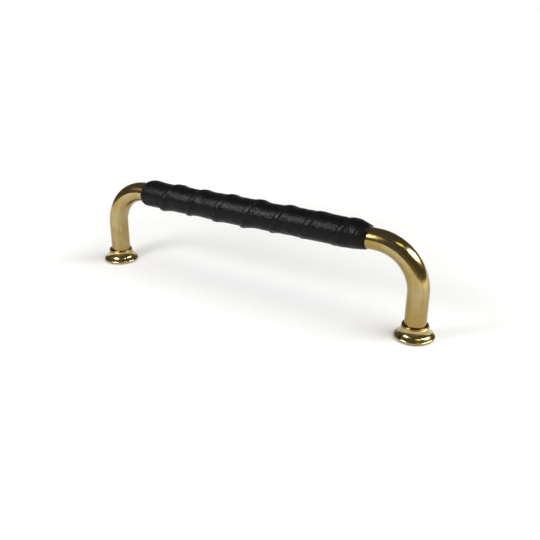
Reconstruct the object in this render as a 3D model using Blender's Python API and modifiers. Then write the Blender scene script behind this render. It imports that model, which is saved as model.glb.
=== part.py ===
"""Bow handle for a cabinet or drawer: a bent brass bar on two turned collars, its grip wound with leather.

The frame is the handle's own: +X along the grip, +Z away from the drawer front, and the origin on the
drawer front midway between the two fixing screws. Every length is in metres.
"""
import math

import bmesh
import bpy

# The bent bar
FOOT_SPACING = 0.128
BAR_DIAMETER = 0.0074
BAR_HEIGHT = 0.0315
BEND_RADIUS = 0.0155

# The blind hole up each end of the bar, at its size before it is tapped for the fixing screw
SCREW_DIAMETER = 0.004
THREAD_PITCH = 0.0007
SCREW_PLAY = 0.0005
TAPPED_HOLE_DEPTH = 0.012
DRILL_POINT_ANGLE = math.radians(118)
COUNTERSINK_WIDTH = 0.0005

# The turned collars: a floor that the bar's end bears on, a round rim, a cove and a rolled lip
COLLAR_FLOOR = 0.0018
NECK_WALL = 0.00043
NECK_HEIGHT = 0.00435
COVE_HEIGHT = 0.00255
COVE_WIDTH = 0.0016
RIM_REACH = 0.0024
RIM_MIDDLE = 0.00082
SHOULDER_WIDTH = 0.0013
SHOULDER_HEIGHT = 0.0007
TOE_WIDTH = 0.0012
LIP_THICKNESS = 0.0006
LIP_STEP = 0.00012
LIP_ARC = (math.radians(110), math.radians(-50))
COVE_ARC = (math.radians(180), math.radians(247))
SHOULDER_ARC = (math.radians(45), 0.0)
TOE_ARC = (0.0, math.radians(-90))

# The leather strip, wound along the grip with each turn's edge lapped over the last turn
BARE_LEFT = 0.0007
BARE_RIGHT = 0.0023
LEATHER_THICKNESS = 0.00097
WINDING_PITCH = 0.0121
FIRST_LAP = 0.0104
LAP_RISE = 0.00065
LAP_CROWN = 0.00006
LAP_STEP = 0.0005
LAP_WIDTH = 0.0030
LAP_FADE = 0.0022
LEFT_END_ROUND = 0.0021
LEFT_END_ARC = (0.0, math.radians(-80))
RIGHT_END_TAPER = 0.0042
RIGHT_EDGE_THICKNESS = 0.0005

# The gap left between pieces that touch
CLEARANCE = 0.0003

# How finely the round forms are faceted
BAR_SIDES = 28
BEND_STEPS = 12
COLLAR_SIDES = 36
LIP_STEPS = 5
COVE_STEPS = 6
SHOULDER_STEPS = 3
TOE_STEPS = 5
WINDING_SIDES = 24
FADE_STEPS = 3
END_STEPS = 7
CUTTER_MARGIN = 0.002
WELD_DISTANCE = 0.000005

# Places that follow from the sizes above
FOOT_X = FOOT_SPACING / 2
BEND_X = FOOT_X - BEND_RADIUS
BEND_Z = BAR_HEIGHT - BEND_RADIUS
BAR_END_Z = COLLAR_FLOOR + CLEARANCE
BORE_RADIUS = BAR_DIAMETER / 2 + CLEARANCE
WRAP_LEFT_X = BARE_LEFT - BEND_X
WRAP_RIGHT_X = BEND_X - BARE_RIGHT
FLAT_RADIUS = BORE_RADIUS + LEATHER_THICKNESS
CREST_RADIUS = FLAT_RADIUS + LAP_RISE

BRASS_COLOR = (0.58, 0.42, 0.17, 1.0)
LEATHER_COLOR = (0.012, 0.012, 0.013, 1.0)


def clear_scene():
    """Remove everything that the file holds at the start."""
    for item in list(bpy.data.objects):
        bpy.data.objects.remove(item, do_unlink=True)


def make_collection(name):
    """Return a new collection linked to the scene."""
    collection = bpy.data.collections.new(name)
    bpy.context.scene.collection.children.link(collection)
    return collection


def make_material(name, color, roughness, metallic):
    """Return a Principled material of one plain finish."""
    material = bpy.data.materials.new(name)
    material.use_nodes = True
    material.diffuse_color = color
    shader = material.node_tree.nodes["Principled BSDF"]
    shader.inputs["Base Color"].default_value = color
    shader.inputs["Roughness"].default_value = roughness
    shader.inputs["Metallic"].default_value = metallic
    return material


def add_object(name, data, collection):
    """Link a new object for some mesh or curve data into a collection."""
    item = bpy.data.objects.new(name, data)
    collection.objects.link(item)
    return item


def smooth(mesh, angle=math.radians(35)):
    """Shade a mesh smooth, with its real edges kept sharp."""
    mesh.shade_smooth()
    mesh.set_sharp_from_angle(angle=angle)


def evaluated_mesh(item):
    """Return a new mesh of an object with its modifiers worked out."""
    depsgraph = bpy.context.evaluated_depsgraph_get()
    return bpy.data.meshes.new_from_object(item.evaluated_get(depsgraph))


def elliptic_arc(center, radii, span, steps):
    """Return the points of an elliptic arc from the first to the last angle of its span, both included."""
    turns = [span[0] + (span[1] - span[0]) * index / steps for index in range(steps + 1)]
    return [(center[0] + radii[0] * math.cos(turn), center[1] + radii[1] * math.sin(turn)) for turn in turns]


def weld(mesh):
    """Join a mesh's doubled points and face it outwards."""
    body = bmesh.new()
    body.from_mesh(mesh)
    bmesh.ops.remove_doubles(body, verts=body.verts, dist=WELD_DISTANCE)
    bmesh.ops.recalc_face_normals(body, faces=body.faces)
    body.to_mesh(mesh)
    body.free()


def turned_solid(name, outline, collection, axis, sides):
    """Turn an outline of (radius, place along the axis) points about the Z or the X axis.

    An outline that starts and ends on the axis is a full body, and any other is closed into a ring.
    """
    mesh = bpy.data.meshes.new(name)
    if axis == "Z":
        points = [(radius, 0.0, place) for radius, place in outline]
    else:
        points = [(place, 0.0, radius) for radius, place in outline]
    edges = [(index, index + 1) for index in range(len(points) - 1)]
    if outline[0][0] > 0.0:
        edges.append((len(points) - 1, 0))
    mesh.from_pydata(points, edges, [])
    item = add_object(name, mesh, collection)
    screw = item.modifiers.new("turning", "SCREW")
    screw.axis = axis
    screw.angle = math.tau
    screw.steps = sides
    screw.render_steps = sides
    screw.use_merge_vertices = True
    screw.merge_threshold = WELD_DISTANCE
    solid = evaluated_mesh(item)
    solid.name = name
    bpy.data.objects.remove(item)
    weld(solid)
    smooth(solid)
    return add_object(name, solid, collection)


def hide_cutter(cutter):
    """Show a cutter as a wire, and never in a render."""
    cutter.hide_render = True
    cutter.display_type = "WIRE"
    return cutter


def add_boolean(item, cutter, operation):
    """Cut or trim an object with another."""
    boolean = item.modifiers.new(cutter.name, "BOOLEAN")
    boolean.operation = operation
    boolean.solver = "EXACT"
    boolean.object = cutter


def bar_path():
    """Return the bar's centre line from the left foot to the right foot."""
    radii = (BEND_RADIUS, BEND_RADIUS)
    left_bend = elliptic_arc((-BEND_X, BEND_Z), radii, (math.pi, math.pi / 2), BEND_STEPS)
    right_bend = elliptic_arc((BEND_X, BEND_Z), radii, (math.pi / 2, 0.0), BEND_STEPS)
    return [(-FOOT_X, BAR_END_Z)] + left_bend + right_bend + [(FOOT_X, BAR_END_Z)]


def screw_hole_outline():
    """Return the outline of the drilled, countersunk blind hole, from its point down to its mouth."""
    radius = (SCREW_DIAMETER - THREAD_PITCH) / 2
    bottom = BAR_END_Z + TAPPED_HOLE_DEPTH
    return [
        (0.0, bottom + radius / math.tan(DRILL_POINT_ANGLE / 2)),
        (radius, bottom),
        (radius, BAR_END_Z + COUNTERSINK_WIDTH),
        (radius + COUNTERSINK_WIDTH + CUTTER_MARGIN, BAR_END_Z - CUTTER_MARGIN),
        (0.0, BAR_END_Z - CUTTER_MARGIN),
    ]


def make_bar(parts, cutters, material):
    """Bend the round bar and drill its two ends."""
    path = bar_path()
    curve = bpy.data.curves.new("bar_path", "CURVE")
    curve.dimensions = "3D"
    curve.bevel_depth = BAR_DIAMETER / 2
    curve.bevel_resolution = BAR_SIDES // 2 - 2
    curve.use_fill_caps = True
    spline = curve.splines.new("POLY")
    spline.points.add(len(path) - 1)
    for point, (x, z) in zip(spline.points, path):
        point.co = (x, 0.0, z, 1.0)
    guide = add_object("bar_path", curve, cutters)
    mesh = evaluated_mesh(guide)
    mesh.name = "bow_bar"
    weld(mesh)
    smooth(mesh)
    mesh.materials.append(material)
    bar = add_object("bow_bar", mesh, parts)
    bar.matrix_world = guide.matrix_world
    bpy.data.objects.remove(guide)
    for name, place in (("drill_left", -FOOT_X), ("drill_right", FOOT_X)):
        drill = turned_solid(name, screw_hole_outline(), cutters, "Z", BAR_SIDES)
        drill.location.x = place
        drill.rotation_euler.z = math.pi / BAR_SIDES
        add_boolean(bar, hide_cutter(drill), "DIFFERENCE")
    return bar


def collar_outline():
    """Return a collar's section, from its rolled lip down the cove and the round rim, and up its bore."""
    neck = BORE_RADIUS + NECK_WALL
    rim = neck + RIM_REACH
    lip_round = LIP_THICKNESS / 2
    lip_center = (neck + LIP_STEP - lip_round, NECK_HEIGHT + lip_round)
    lip = elliptic_arc(lip_center, (lip_round, lip_round), LIP_ARC, LIP_STEPS)
    cove = elliptic_arc((neck + COVE_WIDTH, NECK_HEIGHT), (COVE_WIDTH, COVE_HEIGHT), COVE_ARC, COVE_STEPS)
    shoulder_radii = (SHOULDER_WIDTH, SHOULDER_HEIGHT)
    shoulder = elliptic_arc((rim - SHOULDER_WIDTH, RIM_MIDDLE), shoulder_radii, SHOULDER_ARC, SHOULDER_STEPS)
    toe = elliptic_arc((rim - TOE_WIDTH, RIM_MIDDLE), (TOE_WIDTH, RIM_MIDDLE), TOE_ARC, TOE_STEPS)
    screw_hole = (SCREW_DIAMETER + SCREW_PLAY) / 2
    inside = [
        (screw_hole, 0.0),
        (screw_hole, COLLAR_FLOOR),
        (BORE_RADIUS, COLLAR_FLOOR),
        (BORE_RADIUS, NECK_HEIGHT + lip_round),
    ]
    return lip + cove + shoulder + toe[1:] + inside


def make_collars(parts, material):
    """Turn the collar and set one under each end of the bar."""
    left = turned_solid("foot_collar_left", collar_outline(), parts, "Z", COLLAR_SIDES)
    left.data.materials.append(material)
    left.location.x = -FOOT_X
    right = add_object("foot_collar_right", left.data, parts)
    right.location.x = FOOT_X
    return [left, right]


def lap_profile():
    """Return one turn of the strip's outer face, from a lapped edge to the next, as (place, radius) points.

    The edge steps up steeply, its top is slightly crowned, and it fades softly into the flat of the strip.
    """
    shoulder = CREST_RADIUS - LAP_CROWN
    fade_start = LAP_STEP + LAP_WIDTH
    edge = [(0.0, FLAT_RADIUS), (LAP_STEP, shoulder), (LAP_STEP + LAP_WIDTH / 2, CREST_RADIUS)]
    fade = []
    for step in range(FADE_STEPS + 1):
        share = step / FADE_STEPS
        drop = (1 + math.cos(math.pi * share)) / 2
        fade.append((fade_start + LAP_FADE * share, FLAT_RADIUS + (shoulder - FLAT_RADIUS) * drop))
    flat = [((fade_start + LAP_FADE + WINDING_PITCH) / 2, FLAT_RADIUS), (WINDING_PITCH, FLAT_RADIUS)]
    return edge + fade + flat


def close_ends(mesh, middle):
    """Close each open end of the winding with a fan of faces to a point on the axis."""
    body = bmesh.new()
    body.from_mesh(mesh)
    open_edges = [edge for edge in body.edges if edge.is_boundary]
    for side in (-1, 1):
        rim = [edge for edge in open_edges if (edge.verts[0].co.x - middle) * side > 0]
        center = sum(edge.verts[0].co.x for edge in rim) / len(rim)
        hub = body.verts.new((center, 0.0, 0.0))
        for edge in rim:
            body.faces.new((edge.verts[0], edge.verts[1], hub))
    body.to_mesh(mesh)
    body.free()


def wind_strip(cutters):
    """Wind one turn's outer face along the grip, past both ends of the wrap, and close it."""
    turns = math.ceil((WRAP_RIGHT_X - WRAP_LEFT_X) / WINDING_PITCH) + 2
    start = WRAP_LEFT_X + FIRST_LAP - 2 * WINDING_PITCH
    points = [(start + place, -radius, 0.0) for place, radius in lap_profile()]
    mesh = bpy.data.meshes.new("winding")
    mesh.from_pydata(points, [(index, index + 1) for index in range(len(points) - 1)], [])
    winding = add_object("winding", mesh, cutters)
    screw = winding.modifiers.new("winding", "SCREW")
    screw.axis = "X"
    screw.angle = -math.tau
    screw.screw_offset = WINDING_PITCH
    screw.iterations = turns
    screw.steps = WINDING_SIDES
    screw.render_steps = WINDING_SIDES
    wound = evaluated_mesh(winding)
    bpy.data.objects.remove(winding)
    weld(wound)
    close_ends(wound, (WRAP_LEFT_X + WRAP_RIGHT_X) / 2)
    weld(wound)
    return wound


def wrap_trim_outline():
    """Return the hollow outline that the winding is trimmed to: a thinned right end and a round left end."""
    outside = CREST_RADIUS + CLEARANCE
    edge = BORE_RADIUS + RIGHT_EDGE_THICKNESS
    right_center = (edge, WRAP_RIGHT_X - RIGHT_END_TAPER)
    right = elliptic_arc(right_center, (outside - edge, RIGHT_END_TAPER), (math.pi / 2, 0.0), END_STEPS)
    left_center = (BORE_RADIUS, WRAP_LEFT_X + LEFT_END_ROUND)
    left = elliptic_arc(left_center, (outside - BORE_RADIUS, LEFT_END_ROUND), LEFT_END_ARC, END_STEPS)
    return [(BORE_RADIUS, WRAP_RIGHT_X)] + right + left + [(BORE_RADIUS, left[-1][1])]


def make_wrap(parts, cutters, material):
    """Wind the leather strip round the grip and trim it to its two ends."""
    mesh = wind_strip(cutters)
    mesh.name = "leather_wrap"
    mesh.materials.append(material)
    smooth(mesh)
    wrap = add_object("leather_wrap", mesh, parts)
    wrap.location.z = BAR_HEIGHT
    trim = turned_solid("wrap_trim", wrap_trim_outline(), cutters, "X", WINDING_SIDES * 2)
    trim.location.z = BAR_HEIGHT
    add_boolean(wrap, hide_cutter(trim), "INTERSECT")
    return wrap


def main():
    """Build the handle."""
    clear_scene()
    parts = make_collection("bow_handle")
    cutters = make_collection("cutters")
    brass = make_material("brass", BRASS_COLOR, 0.22, 1.0)
    leather = make_material("leather", LEATHER_COLOR, 0.5, 0.0)
    bar = make_bar(parts, cutters, brass)
    wrap = make_wrap(parts, cutters, leather)
    origin = add_object("handle_origin", None, parts)
    for piece in [bar, wrap] + make_collars(parts, brass):
        piece.parent = origin


main()
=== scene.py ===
"""Bow handle: the looks of its bent brass bar, its turned collars and its leather-wound grip.

Every length is in metres, in the frame's own axes: +X along the grip, +Z away from the drawer front.
Angles round the grip start at -Y and turn through +Z.
"""
from __future__ import annotations

import logging
import math
from dataclasses import dataclass
from enum import Enum
from typing import Any, Sequence

import bmesh
import bpy
import numpy as np
from mathutils import Matrix, Vector

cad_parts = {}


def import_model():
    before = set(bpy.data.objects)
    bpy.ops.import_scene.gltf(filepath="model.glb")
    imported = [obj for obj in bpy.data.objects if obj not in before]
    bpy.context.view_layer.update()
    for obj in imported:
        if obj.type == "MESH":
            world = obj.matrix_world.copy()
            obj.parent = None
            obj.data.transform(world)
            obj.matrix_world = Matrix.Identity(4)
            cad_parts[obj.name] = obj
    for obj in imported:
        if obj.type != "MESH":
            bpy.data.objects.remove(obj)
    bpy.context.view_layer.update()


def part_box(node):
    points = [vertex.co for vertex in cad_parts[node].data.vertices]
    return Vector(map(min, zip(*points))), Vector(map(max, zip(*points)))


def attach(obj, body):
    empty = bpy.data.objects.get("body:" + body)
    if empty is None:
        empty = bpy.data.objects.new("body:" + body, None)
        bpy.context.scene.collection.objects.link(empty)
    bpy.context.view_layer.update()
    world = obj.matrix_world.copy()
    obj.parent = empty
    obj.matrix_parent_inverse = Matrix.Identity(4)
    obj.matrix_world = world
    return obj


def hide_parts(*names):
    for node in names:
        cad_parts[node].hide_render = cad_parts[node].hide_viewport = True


LOG = logging.getLogger("bow_handle")
MM = 0.001
BODY = "root"
TINY = 1e-9
SHARP_ANGLE = math.radians(32)
WELD_DISTANCE = 0.002 * MM

Color = tuple[float, float, float]
Point = tuple[float, float, float]
Pair = tuple[float, float]
Table = tuple[Pair, ...]
Outline = list[Pair]


class Side(Enum):
    """The two ends of the handle, as signs along X."""

    LEFT = -1
    RIGHT = 1


# ---- shader nodes


class Shade:
    """One value in a node tree. Operators on it add the Math nodes that work them out."""

    def __init__(self, sheet: NodeSheet, socket: bpy.types.NodeSocket) -> None:
        """Keep a socket and the sheet of nodes that it is on."""
        self.sheet = sheet
        self.socket = socket

    def _math(self, operation: str, first: Any, second: Any) -> Shade:
        """Return the result of a new Math node."""
        return self.sheet.node("ShaderNodeMath", {"operation": operation}, {0: first, 1: second})

    def __add__(self, other: Any) -> Shade:
        """Add a value."""
        return self._math("ADD", self, other)

    def __radd__(self, other: Any) -> Shade:
        """Add to a value."""
        return self._math("ADD", other, self)

    def __sub__(self, other: Any) -> Shade:
        """Take a value away."""
        return self._math("SUBTRACT", self, other)

    def __rsub__(self, other: Any) -> Shade:
        """Take away from a value."""
        return self._math("SUBTRACT", other, self)

    def __mul__(self, other: Any) -> Shade:
        """Multiply by a value."""
        return self._math("MULTIPLY", self, other)

    def __rmul__(self, other: Any) -> Shade:
        """Multiply a value."""
        return self._math("MULTIPLY", other, self)

    def __truediv__(self, other: Any) -> Shade:
        """Divide by a value."""
        return self._math("DIVIDE", self, other)

    def __rtruediv__(self, other: Any) -> Shade:
        """Divide a value."""
        return self._math("DIVIDE", other, self)

    def along(self, axis: Sequence[float]) -> Shade:
        """Return how far a vector reaches along an axis."""
        settings = {"operation": "DOT_PRODUCT"}
        return self.sheet.node("ShaderNodeVectorMath", settings, {0: self, 1: tuple(axis)}, "Value")

    def stepped(self, low: float, high: float) -> Shade:
        """Return a smooth step.

        Args:
            low: The value at which the step is 0.
            high: The value at which it is 1.

        Returns:
            The step, from 0 to 1.
        """
        settings = {"interpolation_type": "SMOOTHSTEP"}
        inputs = {"Value": self, "From Min": low, "From Max": high}
        return self.sheet.node("ShaderNodeMapRange", settings, inputs)


class NodeSheet:
    """The nodes of one material or world."""

    def __init__(self, owner: bpy.types.Material | bpy.types.World) -> None:
        """Start an empty sheet of nodes.

        Args:
            owner: The material or the world that the nodes belong to.
        """
        owner.use_nodes = True
        self.tree = owner.node_tree
        self.tree.nodes.clear()

    def node(self, kind: str, settings: dict[str, Any] | None = None, inputs: dict[Any, Any] | None = None,
             output: int | str = 0) -> Shade:
        """Add a node.

        Args:
            kind: The node's type.
            settings: Its properties, set before its sockets.
            inputs: A value or a Shade for each socket, by name or number.
            output: The socket of the result, by name or number.

        Returns:
            The result, or the first input of a node that has none.
        """
        node = self.tree.nodes.new(kind)
        for name, value in (settings or {}).items():
            setattr(node, name, value)
        for name, value in (inputs or {}).items():
            if isinstance(value, Shade):
                self.tree.links.new(value.socket, node.inputs[name])
            else:
                node.inputs[name].default_value = value
        return Shade(self, node.outputs[output] if len(node.outputs) else node.inputs[0])

    def blend(self, low: Shade | Color, high: Shade | Color, share: Shade) -> Shade:
        """Return a mix of two colors: the low one where the share is 0, and the high one where it is 1."""
        pair = [color if isinstance(color, Shade) else (*color, 1.0) for color in (low, high)]
        return self.node("ShaderNodeMix", {"data_type": "RGBA"}, {0: share, 6: pair[0], 7: pair[1]}, 2)

    def attribute(self, name: str, output: str = "Fac") -> Shade:
        """Return a value that a mesh keeps for each of its points."""
        return self.node("ShaderNodeAttribute", {"attribute_name": name}, {}, output)

    def ray(self, kind: str) -> Shade:
        """Return whether a ray is of one kind."""
        return self.node("ShaderNodeLightPath", {}, {}, f"Is {kind} Ray")

    def noise(self, place: Shade, scale: float, detail: float = 2.0, roughness: float = 0.5,
              distortion: float = 0.0) -> Shade:
        """Return a noise round 0.5, whose scale is in lumps for each metre and whose detail is in octaves."""
        inputs = {"Vector": place, "Scale": scale, "Detail": detail, "Roughness": roughness,
                  "Distortion": distortion}
        return self.node("ShaderNodeTexNoise", {}, inputs)

    def stretched(self, place: Shade, scale: Point) -> Shade:
        """Return a point with each of its coordinates scaled."""
        return self.node("ShaderNodeVectorMath", {"operation": "MULTIPLY"}, {0: place, 1: scale})

    def bump(self, height: Shade, distance: float, strength: float = 1.0) -> Shade:
        """Return a normal bent by a height from 0 to 1, where 1 stands for a distance in metres."""
        inputs = {"Height": height, "Distance": distance, "Strength": strength}
        return self.node("ShaderNodeBump", {}, inputs)

    def surface(self, shader: Shade) -> None:
        """End a material's nodes in a shader."""
        self.node("ShaderNodeOutputMaterial", {}, {"Surface": shader})

    def principled(self, inputs: dict[str, Any]) -> None:
        """End a material's nodes in a Principled shader."""
        self.surface(self.node("ShaderNodeBsdfPrincipled", {}, inputs))


# ---- finishes


@dataclass(frozen=True)
class BarBrass:
    """Unlacquered brass rod, drawn and lightly buffed, dulled by handling.

    The streaks follow the rod round its bends by the unbent place of each point.
    """

    name: str = "drawn_brass"
    clean: Color = (0.405, 0.325, 0.158)
    warm: Color = (0.350, 0.244, 0.076)
    tarnish: Color = (0.30, 0.20, 0.07)
    streak_scale: Point = (28.0, 420.0, 420.0)
    cloud_scale: float = 120.0
    speck_scale: float = 900.0
    warm_band: Pair = (0.41, 0.59)
    speck_band: Pair = (0.62, 0.74)
    tarnish_band: Pair = (0.45, 0.65)
    tarnish_share: float = 0.6
    rough_band: Pair = (0.35, 0.65)
    roughness: Pair = (0.12, 0.24)
    speck_roughness: float = 0.08
    streak_height: float = 0.01 * MM
    streak_strength: float = 0.35

    def material(self) -> bpy.types.Material:
        """Make the finish.

        Returns:
            The finish as a material.
        """
        material = bpy.data.materials.new(self.name)
        sheet = NodeSheet(material)
        place = sheet.attribute("unbent", "Vector")
        streaks = sheet.noise(sheet.stretched(place, self.streak_scale), 1.0, 3.0, 0.6)
        clouds = sheet.noise(place, self.cloud_scale, 3.0, 0.55, 0.4)
        specks = sheet.noise(place, self.speck_scale, 2.0, 0.5).stepped(*self.speck_band)
        mottle = streaks * 0.5 + clouds * 0.5
        metal = sheet.blend(self.clean, self.warm, mottle.stepped(*self.warm_band))
        tarnished = specks * clouds.stepped(*self.tarnish_band) * self.tarnish_share
        color = sheet.blend(metal, self.tarnish, tarnished)
        low, high = self.roughness
        rough = low + (high - low) * mottle.stepped(*self.rough_band) + specks * self.speck_roughness
        ripple = sheet.bump(streaks, self.streak_height, self.streak_strength)
        sheet.principled({"Base Color": color, "Metallic": 1.0, "Roughness": rough, "Normal": ripple})
        return material


@dataclass(frozen=True)
class CollarBrass:
    """Turned brass, polished to a mirror, with faint rings from the lathe and dull metal in its creases, which are
    also darkened and warmed as painted shade.
    """

    name: str = "turned_brass"
    clean: Color = (0.49, 0.39, 0.175)
    warm: Color = (0.42, 0.29, 0.10)
    lip_brown: Color = (0.32, 0.185, 0.075)
    ring_scale: float = 9000.0
    cloud_scale: float = 260.0
    warm_band: Pair = (0.42, 0.66)
    warm_share: float = 0.7
    crease_shade_warmth: float = 0.3
    lip_brown_share: float = 0.85
    rough_band: Pair = (0.3, 0.7)
    roughness: Pair = (0.13, 0.21)
    crease_roughness: float = 0.2
    ring_height: float = 0.002 * MM
    ring_strength: float = 0.3

    def material(self) -> bpy.types.Material:
        """Make the finish.

        Returns:
            The finish as a material.
        """
        material = bpy.data.materials.new(self.name)
        sheet = NodeSheet(material)
        place = sheet.node("ShaderNodeTexCoord", {}, {}, "Object")
        rings = sheet.noise(sheet.attribute("profile", "Vector"), self.ring_scale, 1.0)
        clouds = sheet.noise(place, self.cloud_scale, 3.0, 0.6)
        crease = sheet.attribute("crease")
        # Painted shade: the crease mark darkens and warms the notch under the lip and the lip's inner edge, standing
        # in for the reflections between lip and rod.
        warmth = clouds.stepped(*self.warm_band) * self.warm_share + crease * self.crease_shade_warmth
        metal = sheet.blend(self.clean, self.warm, warmth)
        # The lip is coloured brown, fading in just below it.
        color = sheet.blend(metal, self.lip_brown, sheet.attribute("lip_brown") * self.lip_brown_share)
        low, high = self.roughness
        rough = low + (high - low) * clouds.stepped(*self.rough_band) + crease * self.crease_roughness
        ripple = sheet.bump(rings, self.ring_height, self.ring_strength)
        sheet.principled({"Base Color": color, "Metallic": 1.0, "Roughness": rough, "Normal": ripple})
        return material


@dataclass(frozen=True)
class BlackLeather:
    """Thin dyed leather with a pebbled grain, rubbed a little smoother where it stands proud, with painted shade in
    its creases and a lighter raised band on each lap, partly wear and partly a painted highlight.
    """

    name: str = "black_leather"
    dye: Color = (0.0036, 0.0036, 0.0043)
    # The lighter tone of worn leather, also used for a painted highlight on the raised laps.
    worn_and_sheen: Color = (0.0060, 0.0060, 0.0074)
    # The cut edge's colour, also used for the painted shade in the creases.
    cut: Color = (0.0025, 0.0024, 0.0023)
    stretch: Point = (1.6, 1.0, 1.0)
    pebble_scale: float = 1300.0
    wrinkle_scale: float = 520.0
    pore_scale: float = 3600.0
    stir_scale: float = 700.0
    stir_reach: Point = (0.6 * MM, 0.6 * MM, 0.6 * MM)
    pebble_softness: float = 0.55
    grain_shares: Point = (0.7, 0.3, 0.12)
    grain_height: float = 0.15 * MM
    wrinkle_band: Pair = (0.4, 0.7)
    wrinkle_wear: float = 0.3
    proud_wear_and_sheen: float = 0.6
    crease_shade_share: float = 0.6
    roughness: float = 0.32
    proud_polish: float = 0.05
    pebble_band: Pair = (0.3, 0.8)
    pebble_roughness: float = 0.10
    crease_roughness: float = 0.25
    specular: float = 0.12

    def material(self) -> bpy.types.Material:
        """Make the finish.

        Returns:
            The finish as a material.
        """
        material = bpy.data.materials.new(self.name)
        sheet = NodeSheet(material)
        place = sheet.stretched(sheet.node("ShaderNodeTexCoord", {}, {}, "Object"), self.stretch)
        stir = sheet.node("ShaderNodeTexNoise", {}, {"Vector": place, "Scale": self.stir_scale, "Detail": 2.0},
                          "Color")
        stirred = sheet.node("ShaderNodeVectorMath", {"operation": "MULTIPLY_ADD"},
                             {0: stir, 1: self.stir_reach, 2: place})
        cells = {"Vector": stirred, "Scale": self.pebble_scale, "Smoothness": self.pebble_softness}
        pebbles = sheet.node("ShaderNodeTexVoronoi", {"feature": "SMOOTH_F1"}, cells, "Distance")
        wrinkles = sheet.noise(place, self.wrinkle_scale, 4.0, 0.6, 0.3)
        pores = sheet.noise(place, self.pore_scale, 2.0, 0.6)
        crease = sheet.attribute("crease")
        proud = sheet.attribute("proud")
        pebble_share, wrinkle_share, pore_share = self.grain_shares
        grain = (1.0 - pebbles) * pebble_share + wrinkles * wrinkle_share + pores * pore_share
        # Lighter where wrinkles wear the leather, and on each lap's raised band partly as wear and partly as a
        # painted highlight.
        wear_and_sheen = wrinkles.stepped(*self.wrinkle_band) * self.wrinkle_wear + proud * self.proud_wear_and_sheen
        dyed = sheet.blend(self.dye, self.worn_and_sheen, wear_and_sheen * (1.0 - crease))
        color = sheet.blend(dyed, self.cut, sheet.attribute("cut_edge"))
        # Painted shade: the cut colour darkens each lapped edge's crease and the line under it.
        color = sheet.blend(color, self.cut, crease * self.crease_shade_share)
        pebbled = pebbles.stepped(*self.pebble_band) * self.pebble_roughness
        rough = self.roughness - proud * self.proud_polish + pebbled + crease * self.crease_roughness
        sheet.principled({"Base Color": color, "Roughness": rough, "Specular IOR Level": self.specular,
                          "Normal": sheet.bump(grain, self.grain_height)})
        return material


# ---- mesh helpers


def smoothstep(low: float, high: float, value: np.ndarray) -> np.ndarray:
    """Return a smooth step from 0 at the low value to 1 at the high one."""
    share = np.clip((value - low) / (high - low), 0.0, 1.0)
    return share * share * (3.0 - 2.0 * share)


def bell(value: np.ndarray, width: float) -> np.ndarray:
    """Return a bell curve of height 1 round 0."""
    return np.exp(-((value / width) ** 2))


def quarter_round(share: np.ndarray) -> np.ndarray:
    """Return the height of a quarter circle, from 0 at a share of 0 to 1 at a share of 1."""
    return np.sqrt(1.0 - (1.0 - np.clip(share, 0.0, 1.0)) ** 2)


def between(top: Table, low: Table, x: np.ndarray, angle: np.ndarray) -> np.ndarray:
    """Return a height that changes round the grip from one table's to another's.

    Args:
        top: Places along the grip and the heights above it, in millimetres.
        low: The same below it.
        x: The place along the grip.
        angle: The angle round it.

    Returns:
        The height at each point, in metres.
    """
    upper = (1.0 + np.sin(angle)) / 2
    return (np.interp(x / MM, *zip(*top)) * upper + np.interp(x / MM, *zip(*low)) * (1.0 - upper)) * MM


def eased(distance: np.ndarray, reach: float) -> np.ndarray:
    """Return distances from an end, crowded towards it within a reach."""
    near = reach * (1.0 - np.cos(np.minimum(distance / reach, 1.0) * math.pi / 2))
    return np.where(distance < reach, near, distance)


def turned_from(middle: float, angle: np.ndarray) -> np.ndarray:
    """Return how far some angles lie from one given in degrees, the short way round, in radians."""
    return (angle - math.radians(middle) + math.pi) % math.tau - math.pi


def arc(center: Pair, radii: Pair, span: Pair, steps: int) -> Outline:
    """Return the points of an elliptic arc. Its span is its first and last angle, in degrees."""
    turns = np.radians(np.linspace(span[0], span[1], steps + 1))
    return [(center[0] + radii[0] * math.cos(turn), center[1] + radii[1] * math.sin(turn)) for turn in turns]


def ring_faces(rows: int, columns: int, closed: bool = False, first: int = 0) -> list[tuple[int, int, int, int]]:
    """Return the faces between rings of points.

    Args:
        rows: The number of rings.
        columns: The points in each.
        closed: Whether the last ring joins the first.
        first: The number of the first point.

    Returns:
        The faces, as point numbers.
    """
    faces = []
    for row in range(rows if closed else rows - 1):
        low, high = first + row * columns, first + (row + 1) % rows * columns
        for column in range(columns):
            after = (column + 1) % columns
            faces.append((low + column, low + after, high + after, high + column))
    return faces


def make_mesh(name: str, points: np.ndarray, faces: Sequence[Sequence[int]],
              marks: dict[str, np.ndarray]) -> bpy.types.Mesh:
    """Make a welded mesh with smooth shading and its real edges kept sharp.

    Args:
        name: The mesh's name.
        points: The points, one row each.
        faces: The faces, as point numbers.
        marks: Numbers or vectors kept for each point, for its material to read.

    Returns:
        The mesh, facing outwards.
    """
    mesh = bpy.data.meshes.new(name)
    mesh.from_pydata(points.tolist(), [], faces)
    for mark, values in marks.items():
        kind, key = ("FLOAT_VECTOR", "vector") if values.ndim == 2 else ("FLOAT", "value")
        mesh.attributes.new(mark, kind, "POINT").data.foreach_set(key, values.astype(np.float32).ravel())
    body = bmesh.new()
    body.from_mesh(mesh)
    bmesh.ops.remove_doubles(body, verts=body.verts, dist=WELD_DISTANCE)
    bmesh.ops.recalc_face_normals(body, faces=body.faces)
    body.to_mesh(mesh)
    body.free()
    mesh.shade_smooth()
    mesh.set_sharp_from_angle(angle=SHARP_ANGLE)
    return mesh


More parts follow.
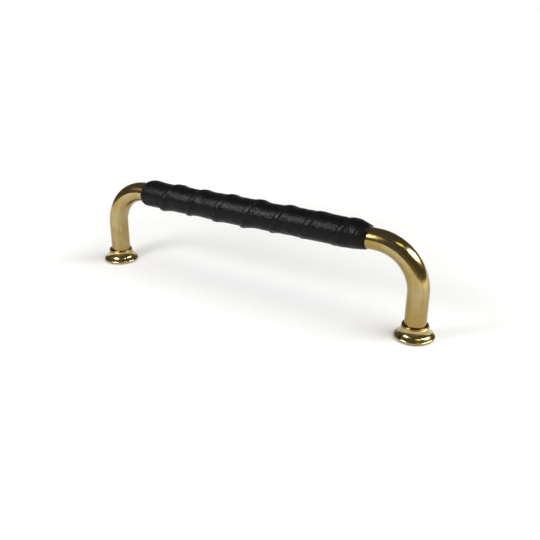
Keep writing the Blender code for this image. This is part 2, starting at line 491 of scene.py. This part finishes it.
def add_piece(name: str, mesh: bpy.types.Mesh, material: bpy.types.Material,
              node: str) -> bpy.types.Object:
    """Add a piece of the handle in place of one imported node.

    Args:
        name: The piece's name.
        mesh: Its mesh, in the frame's axes.
        material: Its finish.
        node: The node that it stands for.

    Returns:
        The piece.
    """
    mesh.materials.append(material)
    piece = bpy.data.objects.new(name, mesh)
    bpy.context.scene.collection.objects.link(piece)
    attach(piece, BODY)
    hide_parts(node)
    LOG.info("%s: %d points, %d faces", name, len(mesh.vertices), len(mesh.polygons))
    return piece


# ---- the handle


@dataclass
class BentBar:
    """The brass rod, bent down at both ends, with a tapped hole up each end."""

    foot_x: float
    end_z: float
    height: float
    radius: float = 3.7 * MM
    bend_radius: float = 15.5 * MM
    end_chamfer: float = 0.3 * MM
    thread_radius: float = 2.0 * MM
    thread_pitch: float = 0.7 * MM
    thread_depth: float = 0.43 * MM
    thread_slope: float = 1.25
    thread_flat: float = 0.1
    hole_depth: float = 12.0 * MM
    drill_point: float = 1.0 * MM
    drill_tip: float = 0.02 * MM
    countersink: float = 0.45 * MM
    sides: int = 64
    bend_steps: int = 48
    straight_step: float = 1.5 * MM
    thread_steps: int = 8

    def center_line(self) -> Outline:
        """Lay out the rod's centre line in the XZ plane.

        Returns:
            Its points, from the left foot to the right foot.
        """
        bend_x, bend_z = self.foot_x - self.bend_radius, self.height - self.bend_radius
        radii = (self.bend_radius, self.bend_radius)
        start = self.end_z + self.end_chamfer
        post = np.linspace(start, bend_z, round((bend_z - start) / self.straight_step) + 1)[:-1]
        grip = np.linspace(-bend_x, bend_x, round(2 * bend_x / self.straight_step) + 1)[1:-1]
        left = arc((-bend_x, bend_z), radii, (180.0, 90.0), self.bend_steps)
        right = arc((bend_x, bend_z), radii, (90.0, 0.0), self.bend_steps)
        line = [(-self.foot_x, z) for z in post] + left + [(x, self.height) for x in grip] + right
        return line + [(self.foot_x, z) for z in post[::-1]]

    def thread_ring(self, depth: float, turn: np.ndarray) -> np.ndarray:
        """Return the radius of the tapped hole all round.

        Args:
            depth: The depth up the hole.
            turn: The angles round it.

        Returns:
            The radius at each angle.
        """
        phase = (depth / self.thread_pitch + turn / math.tau) % 1.0
        cut = (1.0 - np.abs(2.0 * phase - 1.0)) * self.thread_slope - self.thread_flat
        threaded = self.thread_radius - self.thread_depth * (1.0 - np.clip(cut, 0.0, 1.0))
        mouth = self.thread_radius + self.countersink - depth
        return np.maximum(threaded, mouth)

    def end_rows(self, side: Side, turn: np.ndarray) -> list[tuple[float, float, np.ndarray]]:
        """Return the rings of one end, from the drill's point down the hole and out to the chamfer.

        Args:
            side: The end.
            turn: The angles round the rod.

        Returns:
            For each ring its X, its Z and its radius all round.
        """
        x = side.value * self.foot_x
        core = self.thread_radius - self.thread_depth
        count = round(self.hole_depth / self.thread_pitch * self.thread_steps)
        depths = np.linspace(self.hole_depth, 0.0, count + 1)
        flat = np.ones_like(turn)
        rows = [(x, self.end_z + self.hole_depth + self.drill_point, flat * self.drill_tip),
                (x, self.end_z + self.hole_depth, flat * core)]
        rows += [(x, self.end_z + depth, self.thread_ring(depth, turn)) for depth in depths[1:]]
        rows.append((x, self.end_z, flat * (self.radius - self.end_chamfer)))
        return rows

    def mesh(self) -> bpy.types.Mesh:
        """Sweep the rod along its centre line.

        Returns:
            The rod's mesh, with the unbent place of each point kept for its finish.
        """
        turn = np.arange(self.sides) / self.sides * math.tau
        line = np.array(self.center_line())
        ahead = np.gradient(line, axis=0)
        ahead /= np.linalg.norm(ahead, axis=1)[:, None]
        outward = np.stack([-ahead[:, 1], ahead[:, 0]], axis=1)
        run = np.concatenate([[0.0], np.cumsum(np.linalg.norm(np.diff(line, axis=0), axis=1))])
        rows = [((x, z), (-1.0, 0.0), radius, -self.end_chamfer) for x, z, radius in self.end_rows(Side.LEFT, turn)]
        rows += [(center, out, np.full_like(turn, self.radius), along)
                 for center, out, along in zip(line, outward, run)]
        rows += [((x, z), (1.0, 0.0), radius, run[-1] + self.end_chamfer)
                 for x, z, radius in self.end_rows(Side.RIGHT, turn)[::-1]]
        center, out, radius, along = (np.array(part) for part in zip(*rows))
        across, up = np.cos(turn) * radius, np.sin(turn) * radius
        rings = np.stack([center[:, :1] + up * out[:, :1], across, center[:, 1:] + up * out[:, 1:]], axis=2)
        places = np.stack([along[:, None] + 0.0 * turn, across, up], axis=2)
        faces: list[Sequence[int]] = list(ring_faces(len(rows), self.sides))
        last = (len(rows) - 1) * self.sides
        faces += [tuple(range(self.sides)), tuple(range(last, last + self.sides))]
        return make_mesh("bent_bar", rings.reshape(-1, 3), faces, {"unbent": places.reshape(-1, 3)})

    def build(self, finish: BarBrass) -> bpy.types.Object:
        """Make the rod and dress it."""
        return add_piece("bent_bar", self.mesh(), finish.material(), "bow_bar")


@dataclass
class TurnedCollar:
    """A collar turned from brass: a round rim, a cove and a thin rolled lip, on a floor drilled for the screw."""

    foot_x: float
    bore: float = 4.0 * MM
    neck_wall: float = 0.43 * MM
    neck_height: float = 4.35 * MM
    cove: Pair = (1.563 * MM, 4.518 * MM)
    cove_center: Pair = (1.586 * MM, 6.161 * MM)
    cove_arc: Pair = (205.0, 247.0)
    rim_reach: float = 2.4 * MM
    rim_middle: float = 0.82 * MM
    shoulder: Pair = (1.3 * MM, 0.7 * MM)
    shoulder_arc: Pair = (45.0, 0.0)
    toe_width: float = 1.5 * MM
    toe_arc: Pair = (0.0, -90.0)
    lip: float = 0.6 * MM
    lip_arc: Pair = (200.0, -50.0)
    lip_step: float = 0.12 * MM
    lip_clearance: float = 0.05 * MM
    bar_radius: float = BentBar.radius
    play: Pair = (-0.20 * MM, 0.03 * MM)
    floor: float = 1.8 * MM
    screw_hole: float = 2.25 * MM
    screw_chamfer: float = 0.15 * MM
    neck_gap: float = 0.14 * MM
    lip_gap: float = 0.15 * MM
    lip_brown_fade: Pair = (-0.06 * MM, 0.14 * MM)
    arc_steps: tuple[int, int, int, int] = (24, 24, 14, 20)
    sides: int = 144

    def lip_bore(self, side: Side) -> float:
        """Return the radius of the lip's inner edge, which clears the rod by the collar's own play."""
        return self.bar_radius + self.lip_clearance + abs(self.shift(side))

    def shift(self, side: Side) -> float:
        """Return how far one collar sits off the middle of its post."""
        return self.play[0] if side is Side.LEFT else self.play[1]

    def outline(self, side: Side) -> Outline:
        """Draw a collar's section.

        Args:
            side: The end that the collar stands at.

        Returns:
            Its points as radius and height, from the lip down the cove and the rim, and up the bore.
        """
        neck = self.bore + self.neck_wall
        rim = neck + self.rim_reach
        lip_steps, cove_steps, shoulder_steps, toe_steps = self.arc_steps
        half_lip, half_width = self.lip / 2, (neck + self.lip_step - self.lip_bore(side)) / 2
        lip_center = (self.lip_bore(side) + half_width, self.neck_height + half_lip)
        lip = arc(lip_center, (half_width, half_lip), self.lip_arc, lip_steps)
        cove = arc((neck + self.cove_center[0], self.cove_center[1]), self.cove, self.cove_arc, cove_steps)
        shoulder_center = (rim - self.shoulder[0], self.rim_middle)
        shoulder = arc(shoulder_center, self.shoulder, self.shoulder_arc, shoulder_steps)
        toe_center, toe_radii = (rim - self.toe_width, self.rim_middle), (self.toe_width, self.rim_middle)
        toe = arc(toe_center, toe_radii, self.toe_arc, toe_steps)
        inside = [(self.screw_hole + self.screw_chamfer, 0.0), (self.screw_hole, self.screw_chamfer),
                  (self.screw_hole, self.floor), (self.bore, self.floor), (self.bore, self.neck_height)]
        return lip + cove + shoulder + toe[1:] + inside

    def mesh(self, side: Side) -> bpy.types.Mesh:
        """Turn one collar.

        Args:
            side: The end that the collar stands at.

        Returns:
            The collar's mesh, with the marks that its finish reads.
        """
        outline = np.array(self.outline(side))
        turn = np.arange(self.sides) / self.sides * math.tau
        level = np.zeros_like(turn)
        radius, height = outline[:, :1], outline[:, 1:]
        x = side.value * self.foot_x + self.shift(side) + radius * np.cos(turn)
        points = np.stack([x, radius * np.sin(turn), height + level], axis=2).reshape(-1, 3)
        # The crease mark places painted shade in the notch under the lip and at the lip's inner edge, and makes them
        # rougher.
        gap = bell(height - self.neck_height, self.neck_gap) + bell(radius - self.lip_bore(side), self.lip_gap)
        # The brown mark covers the lip and fades in just below it.
        low, high = self.lip_brown_fade
        browned = smoothstep(self.neck_height + low, self.neck_height + high, height)
        profile = np.stack([radius + level, height + level, 0.0 * height + level], axis=2)
        marks = {"crease": (gap + level).ravel(), "lip_brown": (browned + level).ravel(),
                 "profile": profile.reshape(-1, 3)}
        faces = ring_faces(len(outline), self.sides, closed=True)
        return make_mesh(f"turned_collar_{side.name.lower()}", points, faces, marks)

    def build(self, finish: CollarBrass) -> list[bpy.types.Object]:
        """Make both collars and dress them in one finish.

        Args:
            finish: The brass of both.

        Returns:
            The left collar and the right one.
        """
        material = finish.material()
        pieces = []
        for side in Side:
            end = side.name.lower()
            collar = add_piece(f"turned_collar_{end}", self.mesh(side), material, f"foot_collar_{end}")
            pieces.append(collar)
        return pieces


@dataclass(frozen=True)
class Fold:
    """A small fold or dent in the leather.

    Attributes:
        place: Its middle: X, and the angle round the grip in degrees.
        size: Its half length along X and round the grip.
        slant: How far it leans along X for each unit round the grip.
        height: How far it stands up, or down where it is negative.
    """

    place: Pair
    size: Pair
    slant: float
    height: float


@dataclass
class WoundLeather:
    """A leather strip wound along the grip, with each turn's edge lapped over the turn before it.

    In millimetres, the rises and swells give X and a height, and the right edge an angle in degrees and a shift.
    """

    left: float
    right: float
    axis_z: float
    bar_radius: float = BentBar.radius
    bore_gap: float = 0.03 * MM
    bore_rings: int = 30
    least_stand: float = 0.12 * MM
    least_edge: float = 0.05 * MM
    flat_radius: float = 4.97 * MM
    pitch: float = 12.1 * MM
    first_lap: float = 10.4 * MM
    spare_turns: tuple[int, int] = (3, 2)
    top_rises: Table = (
        (-46.5, 0.28), (-34.4, 0.34), (-22.3, 0.48), (-10.2, 0.44), (1.9, 0.50), (14.0, 0.50), (26.1, 0.34),
        (38.2, 0.42), (42.5, 0.34), (45.0, 0.06))
    low_rises: Table = (
        (-40.4, 0.58), (-28.3, 0.48), (-16.2, 0.52), (-4.1, 0.60), (8.0, 0.42), (20.1, 0.26), (32.2, 0.20),
        (41.0, 0.14), (44.3, 0.06))
    top_swell: Table = (
        (-47.5, -0.36), (-45.5, -0.16), (-43.0, 0.16), (-38.0, -0.04), (-35.0, -0.08), (-31.0, 0.27), (-27.0, -0.04),
        (-23.5, -0.13), (-18.0, 0.05), (-13.0, 0.20), (-3.0, 0.26), (3.0, 0.30), (6.5, 0.14), (11.0, 0.19),
        (16.0, 0.35), (22.0, 0.45), (29.0, 0.37), (33.0, 0.50), (38.0, 0.26), (40.5, 0.34), (42.0, 0.56),
        (44.5, 0.44), (47.0, 0.15))
    low_swell: Table = (
        (-47.5, 0.15), (-42.0, 0.02), (-37.0, 0.30), (-33.0, 0.14), (-28.0, 0.17), (-24.0, -0.05), (-15.0, 0.20),
        (-8.0, 0.21), (-1.0, 0.15), (5.0, -0.13), (8.0, -0.05), (12.0, -0.22), (20.0, -0.28), (29.0, -0.21),
        (33.0, -0.26), (37.0, -0.07), (41.0, -0.34), (44.0, -0.70), (45.5, -1.04), (47.0, -1.00))
    edge_step: float = 0.34 * MM
    crown: Pair = (0.78, 0.22)
    under_edge: float = 2.45 * MM
    under_drop: float = 0.42
    under_band: Pair = (-0.55 * MM, 0.05 * MM)
    under_dent: float = 0.05 * MM
    under_offset: float = 0.08 * MM
    under_widths: Pair = (0.13 * MM, 0.12 * MM)
    under_shade: float = 0.45
    fade_start: float = 0.2 * MM
    fade_end: float = 5.3 * MM
    crease_depth: float = 0.13 * MM
    crease_widths: Pair = (0.10 * MM, 0.24 * MM)
    shade_widths: Pair = (0.08 * MM, 0.22 * MM)
    least_open: float = 0.3
    open_band: Pair = (-0.35, 0.55)
    proud_rise: Pair = (0.1 * MM, 0.5 * MM)
    proud_fall: Pair = (1.9 * MM, 2.5 * MM)
    deep_rise: float = 0.38 * MM
    left_round: float = 2.3 * MM
    left_slant: float = 0.6 * MM
    left_bulge: float = 0.25 * MM
    edge_round: float = 0.18 * MM
    edge_cut: float = 0.6
    edge_blur: float = 12.0
    edge_samples: int = 9
    edge_ease: float = 0.8 * MM
    taper: float = 5.0 * MM
    taper_edge: float = 0.45 * MM
    taper_middle: float = 100.0
    taper_spread: float = 62.0
    taper_power: float = 0.9
    lump_seed: int = 7
    lump_count: int = 46
    lump_waves: int = 7
    lump_lengths: Pair = (2.6 * MM, 9.0 * MM)
    lump_weights: Pair = (0.5, 1.0)
    lump_height: float = 0.0065 * MM
    right_edge: Table = (
        (-90.0, -0.50), (-60.0, -0.65), (-32.0, -0.70), (-3.0, -0.75), (26.0, -0.50),
        (60.0, -0.30), (90.0, -0.40), (130.0, -0.45), (180.0, -0.45), (225.0, -0.45))
    sides: int = 160
    fine_columns: tuple[float, ...] = (
        -0.70, -0.50, -0.36, -0.26, -0.18, -0.12, -0.07, -0.03, 0.0, 0.03, 0.06, 0.10, 0.15, 0.21, 0.28, 0.36, 0.46,
        0.60, 0.78, 1.0, 1.22, 1.44, 1.64, 1.82, 1.98, 2.12, 2.24, 2.34, 2.42, 2.50, 2.60, 2.72, 2.88, 3.08)
    column_step: float = 0.27 * MM
    folds: tuple[Fold, ...] = (
        Fold((40.9 * MM, 62.0), (0.30 * MM, 1.3 * MM), 0.10, 0.14 * MM),
        Fold((44.6 * MM, 52.0), (0.60 * MM, 0.8 * MM), 0.30, 0.16 * MM),
        Fold((43.4 * MM, 40.0), (0.30 * MM, 1.6 * MM), 0.70, -0.16 * MM),
        Fold((39.4 * MM, 36.0), (0.45 * MM, 0.7 * MM), 0.50, 0.10 * MM),
        Fold((41.8 * MM, 22.0), (0.50 * MM, 1.0 * MM), -0.30, 0.09 * MM))

    @property
    def bore(self) -> float:
        """Return the radius of the inner face."""
        return self.bar_radius + self.bore_gap

    def columns(self) -> np.ndarray:
        """Lay out the mesh's columns, closer together at the lapped edge.

        Returns:
            Their places past that edge, for one pitch.
        """
        fine = np.array(self.fine_columns) * MM
        start, end = fine[-1], self.pitch + fine[0]
        coarse = np.linspace(start, end, round((end - start) / self.column_step) + 1)[1:-1]
        return np.concatenate([fine, coarse])

    def left_at(self, angle: np.ndarray) -> np.ndarray:
        """Return where the leather starts on the left, at some angles round the grip."""
        return self.left + self.left_slant * ((1.0 + np.sin(angle)) / 2) ** 2 - self.left_bulge

    def edge_at(self, degrees: np.ndarray) -> np.ndarray:
        """Return where the leather ends on the right.

        Args:
            degrees: The angles round the grip.

        Returns:
            The place along X at each angle.
        """
        angles, shifts = zip(*self.right_edge)
        total = np.zeros_like(degrees)
        for blur in np.linspace(-self.edge_blur, self.edge_blur, self.edge_samples):
            total += np.interp(degrees + blur, angles, shifts, period=360.0)
        return self.right + total / self.edge_samples * MM

    def lap_height(self, past: np.ndarray, x: np.ndarray, angle: np.ndarray) -> np.ndarray:
        """Return how far the leather stands above the strip's flat.

        Args:
            past: The distance past the last lapped edge.
            x: The place along the grip.
            angle: The angle round it.

        Returns:
            The height at each point.
        """
        rise = between(self.top_rises, self.low_rises, x, angle)
        low, high = self.under_band
        doubled = 1.0 - self.under_drop * smoothstep(self.under_edge + low, self.under_edge + high, past)
        fading = 1.0 - smoothstep(self.under_edge - self.fade_start, self.fade_end, past)
        flank, top = self.crown
        crown = flank + top * np.sin(np.clip(past / self.under_edge, 0.0, 1.0) * math.pi)
        lap = rise * quarter_round(past / self.edge_step) * crown * doubled * fading
        after, before = self.crease_widths
        crease = (bell(past, after) + bell(self.pitch - past, before)) * self.openness(angle)
        depth = self.crease_depth * np.clip(rise / self.deep_rise, 0.0, 1.0)
        dent = self.under_dent * bell(past - self.under_edge - self.under_offset, self.under_widths[0])
        return lap - depth * crease - dent

    def openness(self, angle: np.ndarray) -> np.ndarray:
        """Return how far the lapped edge stands open, which is least under the grip, where it was pulled tight."""
        return self.least_open + (1.0 - self.least_open) * smoothstep(*self.open_band, np.sin(angle))

    def relief(self, x: np.ndarray, angle: np.ndarray) -> np.ndarray:
        """Return the soft lumps of hand-wound leather, the same for each run, and its small folds and dents.

        Args:
            x: The place along the grip.
            angle: The angle round it.

        Returns:
            Their height at each point.
        """
        rng = np.random.default_rng(self.lump_seed)
        total = np.zeros_like(x)
        for _ in range(self.lump_count):
            waves_round = rng.integers(-self.lump_waves, self.lump_waves + 1)
            length = rng.uniform(*self.lump_lengths)
            weight, phase = rng.uniform(*self.lump_weights), rng.uniform(0.0, math.tau)
            total += weight * np.cos(math.tau * x / length + waves_round * angle + phase)
        total *= self.lump_height
        for fold in self.folds:
            round_grip = turned_from(fold.place[1], angle) * self.flat_radius
            along = x - fold.place[0] - fold.slant * round_grip
            total += fold.height * bell(along, fold.size[0]) * bell(round_grip, fold.size[1])
        return total

    def radius_at(self, x: np.ndarray, angle: np.ndarray) -> tuple[np.ndarray, dict[str, np.ndarray]]:
        """Return the leather's outer radius.

        Args:
            x: The place along the grip.
            angle: The angle round it.

        Returns:
            The radius at each point, and the marks that the finish reads.
        """
        phase = (x - self.left - self.first_lap) / self.pitch - angle / math.tau
        past = (phase - np.floor(phase)) * self.pitch
        height = self.lap_height(past, x, angle) + self.relief(x, angle)
        thickness = self.flat_radius + height + between(self.top_swell, self.low_swell, x, angle) - self.bore
        left_end = quarter_round((x - self.left_at(angle)) / self.left_round)
        stand = np.maximum(thickness, self.least_stand) * left_end
        from_right = self.edge_at(np.degrees(angle)) - x
        top = bell(turned_from(self.taper_middle, angle), math.radians(self.taper_spread))
        tapered = np.sin(np.clip(from_right / self.taper, 0.0, 1.0) * math.pi / 2) ** self.taper_power
        thinned = self.taper_edge + (stand - self.taper_edge) * tapered
        stand = stand + (thinned - stand) * top
        corner = 1.0 - quarter_round(from_right / self.edge_round)
        stand = stand - np.minimum(self.edge_round, stand) * corner
        # Painted shade: the crease mark covers the creases at each lapped edge and the line under it, for the finish
        # to darken.
        after, before = self.shade_widths
        shade = np.maximum(bell(past, after), bell(self.pitch - past, before)) * self.openness(angle)
        shade += self.under_shade * bell(past - self.under_edge - self.under_offset, self.under_widths[1])
        # The proud mark covers each lap's raised band, which the finish smooths and lightens, partly as a painted
        # highlight.
        proud = smoothstep(*self.proud_rise, past) * (1.0 - smoothstep(*self.proud_fall, past))
        cut_edge = (from_right < self.edge_round * self.edge_cut) * 1.0
        return self.bore + stand, {"crease": shade, "proud": proud, "cut_edge": cut_edge}

    def mesh(self) -> bpy.types.Mesh:
        """Lay the outer face as a grid that follows the winding, and close it.

        Returns:
            The leather's mesh.
        """
        angle = np.arange(self.sides) / self.sides * math.tau
        offsets = self.columns()
        before, after = self.spare_turns
        turns = range(-before, math.ceil((self.right - self.left) / self.pitch) + after)
        starts = np.concatenate([self.left + self.first_lap + turn * self.pitch + offsets for turn in turns])
        x = starts[None, :] + self.pitch * angle[:, None] / math.tau
        right = self.edge_at(np.degrees(angle))[:, None]
        left = self.left_at(angle)[:, None]
        x = np.clip(x, left, right)
        x = left + eased(x - left, self.left_round)
        x = right - eased(right - x, self.edge_ease)
        around = np.broadcast_to(angle[:, None], x.shape)
        radius, marks = self.radius_at(x, around)
        radius = np.where(x >= right - TINY, np.maximum(radius, self.bar_radius + self.least_edge), radius)
        columns = len(starts)
        points = self.placed(x, around, radius).reshape(-1, 3)
        faces = []
        shift = len(offsets)
        for row in range(self.sides):
            seam = shift if row == self.sides - 1 else 0
            low, high = row * columns, (row + 1) % self.sides * columns
            for column in range(columns - 1):
                first = min(column + seam, columns - 1)
                second = min(column + 1 + seam, columns - 1)
                faces.append((low + column, low + column + 1, high + second, high + first))
        return self.closed(points, faces, marks, angle, right[:, 0])

    def placed(self, x: np.ndarray, angle: np.ndarray, radius: np.ndarray) -> np.ndarray:
        """Return points round the grip's axis."""
        return np.stack([x, -radius * np.cos(angle), self.axis_z + radius * np.sin(angle)], axis=-1)

    def closed(self, points: np.ndarray, faces: list[Sequence[int]], marks: dict[str, np.ndarray], angle: np.ndarray,
               right: np.ndarray) -> bpy.types.Mesh:
        """Close the outer face with the cut edge and the bore.

        Args:
            points: The points of the outer face.
            faces: Its faces.
            marks: Its marks.
            angle: The angles round the grip.
            right: Where the leather ends on the right, at each angle.

        Returns:
            The leather's mesh.
        """
        left = self.left_at(angle)
        inner = np.full_like(angle, self.bore)
        shares = np.linspace(0.0, 1.0, self.bore_rings)
        rings = [self.placed(left + (right - left) * share, angle, inner) for share in shares]
        count = len(points)
        columns = count // self.sides
        all_points = np.concatenate([points] + rings)
        faces += ring_faces(len(rings), self.sides, first=count)
        last = count + (len(rings) - 1) * self.sides
        for row in range(self.sides):
            after = (row + 1) % self.sides
            faces.append((row * columns + columns - 1, after * columns + columns - 1, last + after, last + row))
            faces.append((row * columns, after * columns, count + after, count + row))
        extra = len(all_points) - count
        tail = {"crease": np.zeros(extra), "proud": np.zeros(extra), "cut_edge": np.ones(extra)}
        full = {name: np.concatenate([values.ravel(), tail[name]]) for name, values in marks.items()}
        return make_mesh("wound_leather", all_points, [face for face in faces if len(set(face)) > 2], full)

    def build(self, finish: BlackLeather) -> bpy.types.Object:
        """Make the winding and dress it."""
        return add_piece("wound_leather", self.mesh(), finish.material(), "leather_wrap")


# ---- the studio


@dataclass(frozen=True)
class LitPanel:
    """A far lit panel, seen in reflections as a soft-edged oval.

    Attributes:
        azimuth: Its direction from +Y towards +X, in degrees.
        elevation: Its height above the table, in degrees.
        reach: Half its width and half its height, in degrees.
        light: How bright it is in each color.
        tilt: How far its width rises towards a greater azimuth, in degrees.
        edge: How soft its edge is, as a share of its reach.
        mirrored: How much brighter a reflection shows it.
        horizon: The cosine, from its middle, at which a direction shows it in full. Backwards shows none.
    """

    azimuth: float
    elevation: float
    reach: Pair
    light: Color
    tilt: float = 0.0
    edge: float = 0.15
    mirrored: float = 1.0
    horizon: float = 0.02

    def glow(self, direction: Shade, glossy: Shade) -> Shade:
        """Return the panel's light.

        Args:
            direction: The direction that is looked in.
            glossy: Whether the ray comes from a reflection.

        Returns:
            The light that comes from there.
        """
        turn, rise = math.radians(self.azimuth), math.radians(self.elevation)
        level = Vector((math.cos(turn), -math.sin(turn), 0.0))
        facing = Vector((math.sin(turn) * math.cos(rise), math.cos(turn) * math.cos(rise), math.sin(rise)))
        depth = direction.along(facing)
        tilt, (wide, high) = math.radians(self.tilt), (math.tan(math.radians(reach)) for reach in self.reach)
        upright = level.cross(facing)
        across = direction.along((level * math.cos(tilt) + upright * math.sin(tilt)) / wide) / depth
        up = direction.along((upright * math.cos(tilt) - level * math.sin(tilt)) / high) / depth
        oval = (1.0 - across * across - up * up).stepped(0.0, 2.0 * self.edge)
        inside = oval * depth.stepped(0.0, self.horizon)
        shown = tuple(light * self.mirrored for light in self.light)
        return direction.sheet.blend((0.0, 0.0, 0.0), direction.sheet.blend(self.light, shown, glossy), inside)


@dataclass(frozen=True)
class SoftLamp:
    """A round soft lamp, unseen by the camera itself.

    Attributes:
        name: Its name.
        place: Its middle. It faces the frame's origin.
        size: Its width.
        power: Its power in watts.
        lights: Whether it lights dull surfaces.
        mirrored: Whether shiny surfaces show it.
    """

    name: str
    place: Point
    size: float
    power: float
    lights: bool = True
    mirrored: bool = True

    def build(self) -> None:
        """Hang the lamp."""
        data = bpy.data.lights.new(self.name, "AREA")
        data.shape = "DISK"
        data.size = self.size
        data.energy = self.power
        lamp = bpy.data.objects.new(self.name, data)
        bpy.context.scene.collection.objects.link(lamp)
        lamp.location = self.place
        lamp.rotation_euler = Vector(self.place).to_track_quat("Z", "Y").to_euler()
        lamp.visible_camera = False
        lamp.visible_diffuse = self.lights
        lamp.visible_glossy = self.mirrored


@dataclass
class Studio:
    """A white table in a dim room, with far lit panels and soft lamps."""

    table_front: float = 0.24
    table_left: float = 0.27
    table_reach: float = 6.0
    table_tone: float = 0.80
    near_lift: float = 0.07
    far_lift: float = 1.0
    lift_spread: Pair = (0.055, 0.31)
    room: Color = (0.106, 0.104, 0.104)
    panels: tuple[LitPanel, ...] = (
        LitPanel(68.5, 40.0, (29.0, 11.5), (4.6, 4.6, 4.7), 27.0, edge=0.1, mirrored=2.2),
        LitPanel(119.0, 65.0, (15.0, 5.0), (3.2, 3.1, 0.8), edge=0.4),
        LitPanel(-154.0, 38.5, (13.0, 14.0), (1.3, 1.32, 1.38), edge=0.6),
        LitPanel(-128.0, 28.0, (18.0, 11.0), (0.52, 0.52, 0.58), edge=0.6),
        LitPanel(-28.0, 2.0, (45.0, 22.0), (0.42, 0.39, 0.33), edge=0.4),
        LitPanel(155.0, 5.0, (38.0, 15.0), (0.14, 0.095, 0.06), edge=0.5))
    lamps: tuple[SoftLamp, ...] = (
        SoftLamp("near_lamp", (-0.075, -0.135, 0.140), 0.075, 0.19, mirrored=False),
        SoftLamp("near_glow", (-0.077, -0.137, 0.138), 0.110, 0.42, lights=False),
        SoftLamp("overhead_lamp", (0.380, -0.050, 0.460), 0.72, 3.3, mirrored=False))

    def build(self) -> None:
        """Lay the table and light it."""
        self.lay_table()
        self.light_room()
        for lamp in self.lamps:
            lamp.build()

    def lay_table(self) -> None:
        """Lay the white table top, which keeps the handle's shadow."""
        reach, front, left = self.table_reach, self.table_front, self.table_left
        mesh = bpy.data.meshes.new("table_top")
        mesh.from_pydata([(-left, -front, 0.0), (reach, -front, 0.0), (reach, reach, 0.0), (-left, reach, 0.0)],
                         [], [(0, 1, 2, 3)])
        material = bpy.data.materials.new("white_table")
        sheet = NodeSheet(material)
        white = sheet.node("ShaderNodeBsdfDiffuse", {}, {"Color": (self.table_tone,) * 3 + (1.0,)})
        seen = sheet.ray("Camera") + sheet.ray("Glossy") + sheet.ray("Transmission")
        place = sheet.node("ShaderNodeTexCoord", {}, {}, "Object")
        away = sheet.node("ShaderNodeVectorMath", {"operation": "LENGTH"}, {0: place}, "Value")
        tone = sheet.blend((self.near_lift,) * 3, (self.far_lift,) * 3, away.stepped(*self.lift_spread))
        lift = sheet.node("ShaderNodeEmission", {}, {"Color": tone})
        none = sheet.node("ShaderNodeEmission", {}, {"Strength": 0.0})
        glow = sheet.node("ShaderNodeMixShader", {}, {0: seen, 1: none, 2: lift})
        sheet.surface(sheet.node("ShaderNodeAddShader", {}, {0: white, 1: glow}))
        mesh.materials.append(material)
        table = bpy.data.objects.new("table_top", mesh)
        bpy.context.scene.collection.objects.link(table)

    def light_room(self) -> None:
        """Show white behind the table, and the dim room and its lit panels to everything else."""
        world = bpy.data.worlds.new("dim_room")
        sheet = NodeSheet(world)
        direction = sheet.node("ShaderNodeTexCoord", {}, {}, "Generated")
        light: Any = self.room
        glossy = sheet.ray("Glossy")
        for panel in self.panels:
            glow = panel.glow(direction, glossy)
            light = sheet.node("ShaderNodeVectorMath", {"operation": "ADD"}, {0: light, 1: glow})
        color = sheet.blend(light, (1.0, 1.0, 1.0), sheet.ray("Camera"))
        background = sheet.node("ShaderNodeBackground", {}, {"Color": color})
        sheet.node("ShaderNodeOutputWorld", {}, {"Surface": background})
        bpy.context.scene.world = world


@dataclass(frozen=True)
class Viewpoint:
    """Where the handle is looked at from. The angles turn the view right, up and clockwise from +Y."""

    eye: Point = (0.129668, -0.203013, 0.113375)
    heading: float = -0.539835
    dip: float = -0.406954
    roll: float = -0.007393
    lens: float = 47.2946
    film_width: float = 36.0
    clip_start: float = 0.005

    def build(self) -> None:
        """Set up the camera."""
        ahead = Vector((math.sin(self.heading) * math.cos(self.dip), math.cos(self.heading) * math.cos(self.dip),
                        math.sin(self.dip)))
        level = Vector((math.cos(self.heading), -math.sin(self.heading), 0.0))
        down = ahead.cross(level)
        right = level * math.cos(self.roll) + down * math.sin(self.roll)
        down = down * math.cos(self.roll) - level * math.sin(self.roll)
        data = bpy.data.cameras.new("viewpoint")
        data.lens = self.lens
        data.sensor_width = self.film_width
        data.clip_start = self.clip_start
        camera = bpy.data.objects.new("viewpoint", data)
        bpy.context.scene.collection.objects.link(camera)
        axes = Matrix((right, -down, -ahead)).transposed().to_4x4()
        camera.matrix_world = Matrix.Translation(self.eye) @ axes
        bpy.context.scene.camera = camera


def main() -> None:
    """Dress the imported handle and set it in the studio."""
    logging.basicConfig(level=logging.INFO, format="%(name)s: %(message)s")
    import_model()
    Viewpoint().build()
    collar_low, collar_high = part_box("foot_collar_right")
    bar_low, bar_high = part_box("bow_bar")
    wrap_low, wrap_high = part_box("leather_wrap")
    foot_x = (collar_low.x + collar_high.x) / 2
    bar = BentBar(foot_x=foot_x, end_z=bar_low.z, height=bar_high.z - BentBar.radius)
    bar.build(BarBrass())
    TurnedCollar(foot_x=foot_x).build(CollarBrass())
    WoundLeather(left=wrap_low.x, right=wrap_high.x, axis_z=bar.height).build(BlackLeather())
    Studio().build()
    bpy.context.scene.view_settings.view_transform = "Standard"


if __name__ == "__main__":
    main()
